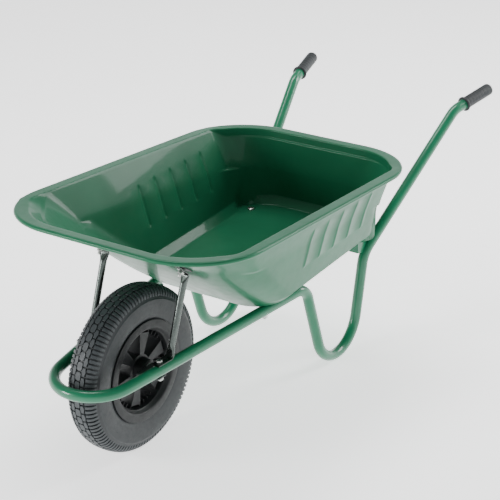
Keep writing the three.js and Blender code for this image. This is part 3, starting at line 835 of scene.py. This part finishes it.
def wheel_centre():
    """The ring under the tyre, the hub, the spokes between them and thin ribs inside the ring."""
    shell = Shell()
    rim = [(38, 101.5), (39.6, 103), (40.8, 105), (41, 108), (41, 121.5), (40.4, 123), (39, 123.5),
           (37.5, 123.5), (36, 109.7), (26, 106.5), (12, 98.5), (0, 98.2)]
    inside = [(31, 98), (29, 95.4), (24, 94.2), (0, 93.8)]
    outline = rim + [(-x, r) for x, r in reversed(rim[:-1])] + [(-x, r) for x, r in inside[:-1]]
    outline += [(x, r) for x, r in reversed(inside)]
    shell.turn(outline, 168, WHEEL_BASIS)
    hub = [(HUB_HALF_WIDTH, 20), (HUB_HALF_WIDTH, 25.5), (45, 27), (43, 27.8), (22, 30), (20.5, 32),
           (20, 36), (0, 36)]
    shell.turn(hub + [(-x, r) for x, r in reversed(hub[:-1])], 96, WHEEL_BASIS)
    for k in range(SPOKES):
        add_spoke(shell, SPOKE_ANGLE + 2 * math.pi * k / SPOKES)
        for offset in RING_RIB_DEGREES:
            add_ring_rib(shell, SPOKE_ANGLE + 2 * math.pi * (k + 0.5) / SPOKES + math.radians(offset))
    build("wheel_centre_moulding", shell, WHEEL_PLASTIC, "wheel", ["wheel_centre"],
          bevel=0.5)


def spoke_basis(angle):
    """X stays the wheel's axis, Y runs across the spoke and Z out along it."""
    return WHEEL_BASIS @ Matrix.Rotation(angle, 4, "X")


def add_spoke(shell, angle):
    """A wedge-shaped spoke whose side walls run on to the ring as fins, with a web between them."""
    basis = spoke_basis(angle)
    half_depth, fin_half_depth, web_half_depth = 21, 19.5, 4
    inner, outer, ring = 30, 87.5, 96.5
    narrow, wide, wall, lap = 6.5, 17.2, 2.6, 1
    outline = [(-narrow, inner), (narrow, inner), (wide, outer), (-wide, outer)]
    shell.prism(outline, -half_depth, half_depth, basis)
    spread = (wide - narrow) / (outer - inner)
    reach = wide + spread * (ring - outer)
    for sign in (-1, 1):
        fin = [(sign * (wide - wall), outer - lap), (sign * wide, outer - lap), (sign * reach, ring),
               (sign * (reach - wall), ring)]
        shell.prism(fin, -fin_half_depth, fin_half_depth, basis)
    web = [(-wide + lap, outer - lap), (wide - lap, outer - lap), (reach - lap, ring), (-reach + lap, ring)]
    shell.prism(web, -web_half_depth, web_half_depth, basis)


def add_ring_rib(shell, angle):
    """A thin rib on the ring's inner side, between two spokes."""
    half_thick, low, high, half_depth = 1.1, 84, 96, 19
    outline = [(-half_thick, low), (half_thick, low), (half_thick, high), (-half_thick, high)]
    shell.prism(outline, -half_depth, half_depth, spoke_basis(angle))


def valve():
    """A threaded stem that points to the axle, under a cap with grooves to grip it by."""
    basis = WHEEL_BASIS @ Matrix.Rotation(VALVE_ANGLE, 4, "X") @ Matrix.Rotation(-math.pi / 2, 4, "Y")
    radius, tip, threaded_to, plain_from, root = 2.6, 84, 104, 106, 128
    stem = Shell()
    stem.turn([(tip, NEAR_AXIS)] + thread_outline(tip + 0.2, threaded_to, radius, 0.9, 0.3)
              + [(plain_from, radius), (root, radius), (root, NEAR_AXIS)], 28, basis)
    build("valve_stem_turned", stem, BRASS, "wheel", ["valve_stem"])
    segments, segments_per_groove, groove = 60, 3, 0.25
    grooved_from, grooved_to = 76.5, 87
    outline = [(76, 3), (76, 3.6), (76.6, 4.1), (86.8, 4.2), (88, 3.9), (88, 3)]
    rings = []
    for k in range(segments):
        cut = groove if k % segments_per_groove == 0 else 0
        rings.append([basis @ around(x, r - cut if grooved_from < x < grooved_to else r,
                                     2 * math.pi * k / segments) for x, r in outline])
    cap = Shell()
    cap.loft(rings, loop=True)
    build("valve_cap_moulding", cap, WHEEL_PLASTIC, "wheel", ["valve_cap"])


def outward(sign):
    """The wheel's basis, with X pointing out of it on one side."""
    return WHEEL_BASIS @ Matrix.Rotation(0 if sign > 0 else math.pi, 4, "Z")


def bearing(side, sign):
    """A sealed bearing seen from outside: two rings with a recessed shield between them."""
    face, back = HUB_HALF_WIDTH, HUB_HALF_WIDTH - BEARING["width"]
    inner, outer = BEARING["inner"], BEARING["outer"]
    shell = Shell()
    shell.turn([(back, inner), (face - 0.3, inner), (face, inner + 0.3), (face, 9.2), (face - 0.9, 9.4),
                (face - 1.1, 13), (face - 0.9, 16.6), (face, 16.8), (face, outer - 0.4), (face - 0.4, outer),
                (back, outer)], 72, outward(sign))
    build(f"bearing_turned_{side}", shell, BEARING_STEEL, "wheel",
          [f"wheel_bearing_{side}"])


def axle():
    shell = Shell()
    end, plain_to, threaded_from, chamfer = AXLE_HALF_LENGTH, 57, 58, 1.4
    thread = thread_outline(threaded_from, end - 1.2, AXLE_RADIUS, 1.75, 0.6)
    half = [(0, AXLE_RADIUS), (plain_to, AXLE_RADIUS)] + thread
    half += [(end, AXLE_RADIUS - chamfer), (end, NEAR_AXIS)]
    shell.turn(half + [(-x, r) for x, r in reversed(half[1:])], 40, WHEEL_BASIS)
    build("axle_turned", shell, ZINC, "frame", ["axle"])


def axle_hardware(side, sign):
    """Along the axle from the hub outward: a spacer, the bracket's leg, a washer and a nut."""
    basis = outward(sign)
    bore, outer, edge, washer_thickness = 6.3, 9, 0.4, 2
    low, high = HUB_HALF_WIDTH + GAP, BRACKET["inner"] - GAP
    spacer = Shell()
    spacer.turn([(low, bore), (low, outer - edge), (low + edge, outer), (high - edge, outer),
                 (high, outer - edge), (high, bore)], 48, basis)
    build(f"axle_spacer_turned_{side}", spacer, ZINC, "frame", [f"axle_spacer_{side}"])
    washer_at = BRACKET["inner"] + BRACKET["thickness"] + GAP
    nut_at = BRACKET["inner"] + BRACKET["thickness"] + 2 * GAP + washer_thickness
    washer(f"axle_washer_{side}", basis @ Matrix.Translation((washer_at, 0, 0)), bore, 12, washer_thickness)
    nut(f"axle_nut_{side}", basis @ Matrix.Translation((nut_at, 0, 0)), M12)


# ---- Stays and brackets ----

WALL_OUT = Vector((0, -math.sin(FRONT_WALL_SLOPE), -math.cos(FRONT_WALL_SLOPE)))
WALL_UP = Vector((0, -math.cos(FRONT_WALL_SLOPE), math.sin(FRONT_WALL_SLOPE)))
STAY_STANDOFF = 6             # from the front wall's middle to the stay's flattened top


def wall_basis(sign, distance):
    """Square to the tray's front wall at the stay bolt; X points out of the tray."""
    return axes(STAY_BOLT + Vector((sign * STAY_X, 0, 0)) + WALL_OUT * distance, WALL_OUT, WALL_UP)


def stay(side, sign):
    """A zinc tube, pressed flat at both ends."""
    def foot(y):
        return Vector((rail_x(y), y, rail_z(y) + TUBE_RADIUS + STAY_FLAT[1] + GAP))

    def tab(reach):
        base = STAY_BOLT + Vector((STAY_X, 0, 0)) + WALL_OUT * (STAY_STANDOFF + STAY_FLAT[1])
        return base + WALL_UP * reach

    past_bolt, bend, heel_y, bend_to_bolt, stations = 13, 9, -6, 18, 48
    toe, low = foot(CLAMP_BOLT_Y - past_bolt), foot(heel_y)
    high, tip = tab(-bend_to_bolt), tab(past_bolt)
    between = [(low.lerp(high, t), 0) for t in np.linspace(0.08, 0.92, stations)]
    path = bent_path([(toe, 0), (low, bend)] + between + [(high, bend), (tip, 0)], 8)
    run = high - low
    flat_squareness, rounding = 0.55, 0.45

    def section(i):
        t = (path[i] - low).dot(run) / run.length_squared
        full = smooth_step(0.04, 0.16, t) * smooth_step(0.98, 0.86, t)
        a = STAY_FLAT[0] + (STAY_RADIUS - STAY_FLAT[0]) * full
        b = STAY_FLAT[1] + (STAY_RADIUS - STAY_FLAT[1]) * full
        return ellipse(a, b, 36, flat_squareness + rounding * full)

    shell = Shell()
    shell.loft(sweep(path, X, section))
    if sign < 0:
        shell = mirrored(shell)
    # The stays wear the darkened zinc, which is painted shade.
    build(f"stay_tube_{side}", shell, STAY_ZINC_PAINTED_SHADE, "frame", [f"stay_{side}"], sharp=50)


CLAMP = Vector((rail_x(CLAMP_BOLT_Y), CLAMP_BOLT_Y, rail_z(CLAMP_BOLT_Y)))
RAIL_TILT_ROOM = 1.2          # the bracket is level and the rail over it isn't
BRACKET_TOP = CLAMP.z - TUBE_RADIUS - GAP - RAIL_TILT_ROOM


def axle_bracket(side, sign):
    """A plate under the rail, turned down beside the hub to carry the axle."""
    inner, thickness, under = BRACKET["inner"], BRACKET["thickness"], BRACKET["under"]
    top = BRACKET_TOP
    leg = [(-58, top), (-58, top - 12), (-16, 186), (-8, 181), (8, 181), (16, 186), (20, 200), (20, top)]
    flange = [(inner + 1, -58), (CLAMP.x + 2, -58), (CLAMP.x + 8, -50), (CLAMP.x + 8, -26), (CLAMP.x, -16),
              (inner + 1, 20)]
    shell = Shell()
    shell.loft([[Vector((inner + x, u, v)) for u, v in leg] for x in (0, thickness)])
    shell.loft([[Vector((u, v, top - z)) for u, v in flange] for z in (0, under)])
    if sign < 0:
        shell = mirrored(shell)
    build(f"axle_bracket_plate_{side}", shell, BLACK_STEEL, "frame",
          [f"axle_bracket_{side}"], bevel=0.8, bevel_segments=3)


def stay_hardware(side, sign):
    """The plate, bolt and nut at a stay's top, and the clamp bolt and nut at its foot."""
    corner, across, along, thickness = 4, 8, 18, 2.5
    plate_seat, head_seat, bolt_length, past_nut = 2, -1.6, 26, 3
    outline = []
    for quarter, (cy, cz) in enumerate(((across, along), (-across, along), (-across, -along),
                                        (across, -along))):
        for k in range(7):
            angle = math.radians(90 * quarter + 15 * k)
            outline.append((cy + corner * math.cos(angle), cz + corner * math.sin(angle)))
    plate = Shell()
    plate.prism(outline, 0, thickness, wall_basis(sign, plate_seat))
    build(f"stay_plate_pressed_{side}", plate, BLACK_STEEL, "frame",
          [f"stay_plate_{side}"], bevel=0.4)
    domed_bolt(f"stay_bolt_{side}", wall_basis(sign, head_seat), bolt_length)
    nut(f"stay_nut_{side}", wall_basis(sign, STAY_STANDOFF + 2 * STAY_FLAT[1] + GAP), M8)

    clamp_top = CLAMP.z + TUBE_RADIUS + 2 * STAY_FLAT[1] + 2 * GAP
    bracket_foot = BRACKET_TOP - BRACKET["under"]
    down = axes(Vector((sign * CLAMP.x, CLAMP.y, clamp_top)), -Z, Y)
    hex_bolt(f"clamp_bolt_{side}", down, clamp_top - bracket_foot + M8["nut"] + past_nut)
    nut(f"clamp_nut_{side}", axes(Vector((sign * CLAMP.x, CLAMP.y, bracket_foot - GAP)), -Z, Y), M8)


TILT_ROOM = GAP + 10 * RAIL_SLOPE      # a level washer or bolt head stands this clear of the sloping floor


def tray_bolts(side, sign):
    """At the front through a rail, and at the rear through the bearer's saddle."""
    saddle, past_nut = 3, 4
    for end, (x, y) in TRAY_BOLTS.items():
        top = floor_underside(y) + SHEET + TILT_ROOM
        under = floor_underside(y) - saddle - GAP - TILT_ROOM
        if end == "front":
            under = rail_z(y) - TUBE_RADIUS - GAP

        def down(z):
            return axes(Vector((sign * x, y, z)), -Z, Y)

        domed_bolt(f"tray_bolt_{end}_{side}", down(top), top - under + WASHER + M8["nut"] + past_nut)
        washer(f"tray_washer_{end}_{side}", down(under), M8["washer_bore"], M8["washer"], WASHER)
        nut(f"tray_nut_{end}_{side}", down(under - WASHER - GAP), M8)


# ---- CAD pieces that stay, with a finished material ----


def finish_cad(node, material):
    slots = frame["nodes"][node].data.materials
    slots.clear()
    slots.append(material)


# ---- Stage ----

CAMERA = {"azimuth": 35.442, "elevation": 24.883, "roll": -1.903, "distance": 3.8, "lens": 115.55}
CAMERA_TARGET = Vector((110.36, 325.03, 393.49))
SENSOR_WIDTH = 36
FLOOR_GLOW = 1.3
HORIZON_GLOW = 1.9
CEILING_GLOW = 0.3


def camera():
    azimuth, elevation, roll = (math.radians(CAMERA[k]) for k in ("azimuth", "elevation", "roll"))
    back = Vector((math.sin(azimuth) * math.cos(elevation), -math.cos(azimuth) * math.cos(elevation),
                   math.sin(elevation)))
    right = Vector((math.cos(azimuth), math.sin(azimuth), 0))
    up = back.cross(right)
    right, up = (right * math.cos(roll) + up * math.sin(roll), up * math.cos(roll) - right * math.sin(roll))
    data = bpy.data.cameras.new("camera")
    data.lens = CAMERA["lens"]
    data.sensor_width = SENSOR_WIDTH
    data.clip_end = 100
    eye = bpy.data.objects.new("camera", data)
    bpy.context.scene.collection.objects.link(eye)
    turn = Matrix((right, up, back)).transposed().to_4x4()
    eye.matrix_world = Matrix.Translation(place(CAMERA_TARGET) + back * CAMERA["distance"]) @ turn
    bpy.context.scene.camera = eye


def stage():
    """A plain white floor that glows, as a lit studio table does."""
    n = Nodes("floor", Specular_IOR_Level=0.1, Emission_Color=(1, 1, 1, 1),
              Emission_Strength=FLOOR_GLOW)
    colour = n.blend(n.between(n.noise(3, 2), 0, 1), (0.93, 0.93, 0.93), (0.95, 0.95, 0.95))
    n.finish(colour, n.between(n.noise(8, 2), 0.8, 0.9))
    mesh = bpy.data.meshes.new("floor")
    reach = 40
    mesh.from_pydata([(-reach, -reach, 0), (reach, -reach, 0), (reach, reach, 0), (-reach, reach, 0)], [],
                     [(0, 1, 2, 3)])
    mesh.materials.append(n.material)
    floor = bpy.data.objects.new("floor", mesh)
    bpy.context.scene.collection.objects.link(floor)


def soft_light(name, position, target, size, power):
    data = bpy.data.lights.new(name, "AREA")
    data.shape = "RECTANGLE"
    data.size, data.size_y = size
    data.energy = power
    lamp = bpy.data.objects.new(name, data)
    bpy.context.scene.collection.objects.link(lamp)
    lamp.location = position
    lamp.rotation_euler = (Vector(target) - Vector(position)).to_track_quat("-Z", "Y").to_euler()


def studio_world():
    """White walls that fade upward into a dim ceiling."""
    world = bpy.data.worlds.new("studio")
    bpy.context.scene.world = world
    world.use_nodes = True
    tree = world.node_tree
    direction = tree.nodes.new("ShaderNodeTexCoord")
    split = tree.nodes.new("ShaderNodeSeparateXYZ")
    fade = tree.nodes.new("ShaderNodeMapRange")
    fade.interpolation_type = "SMOOTHSTEP"
    for socket, value in (("From Min", 0.08), ("From Max", 0.5), ("To Min", HORIZON_GLOW),
                          ("To Max", CEILING_GLOW)):
        fade.inputs[socket].default_value = value
    tree.links.new(direction.outputs["Generated"], split.inputs[0])
    tree.links.new(split.outputs["Z"], fade.inputs["Value"])
    background = tree.nodes["Background"]
    background.inputs["Color"].default_value = (0.97, 0.99, 1, 1)
    tree.links.new(fade.outputs[0], background.inputs["Strength"])


def lights():
    studio_world()
    soft_light("key", (-0.9, 0.8, 3.8), (0, 0, 0.3), (2.4, 1.2), 110)
    soft_light("side", (1.9, 2.6, 1.9), (0, 0, 0.3), (1.0, 2.0), 80)
    soft_light("front", (-2.0, -3.0, 1.3), (0, -0.4, 0.2), (1.0, 1.0), 70)
    soft_light("rear", (0.6, 3.2, 3.2), (0, 0, 0.3), (2.6, 0.7), 20)


# ---- Build ----

camera()
stage()
lights()
frame_tube()
tray()
tyre()
wheel_centre()
valve()
axle()
for side_name, side_sign in SIDES:
    grip(side_name, side_sign)
    bearing(side_name, side_sign)
    axle_hardware(side_name, side_sign)
    stay(side_name, side_sign)
    axle_bracket(side_name, side_sign)
    stay_hardware(side_name, side_sign)
    tray_bolts(side_name, side_sign)
finish_cad("rear_bearer", GREEN_FRAME)
finish_cad("inner_tube", TUBE_RUBBER)
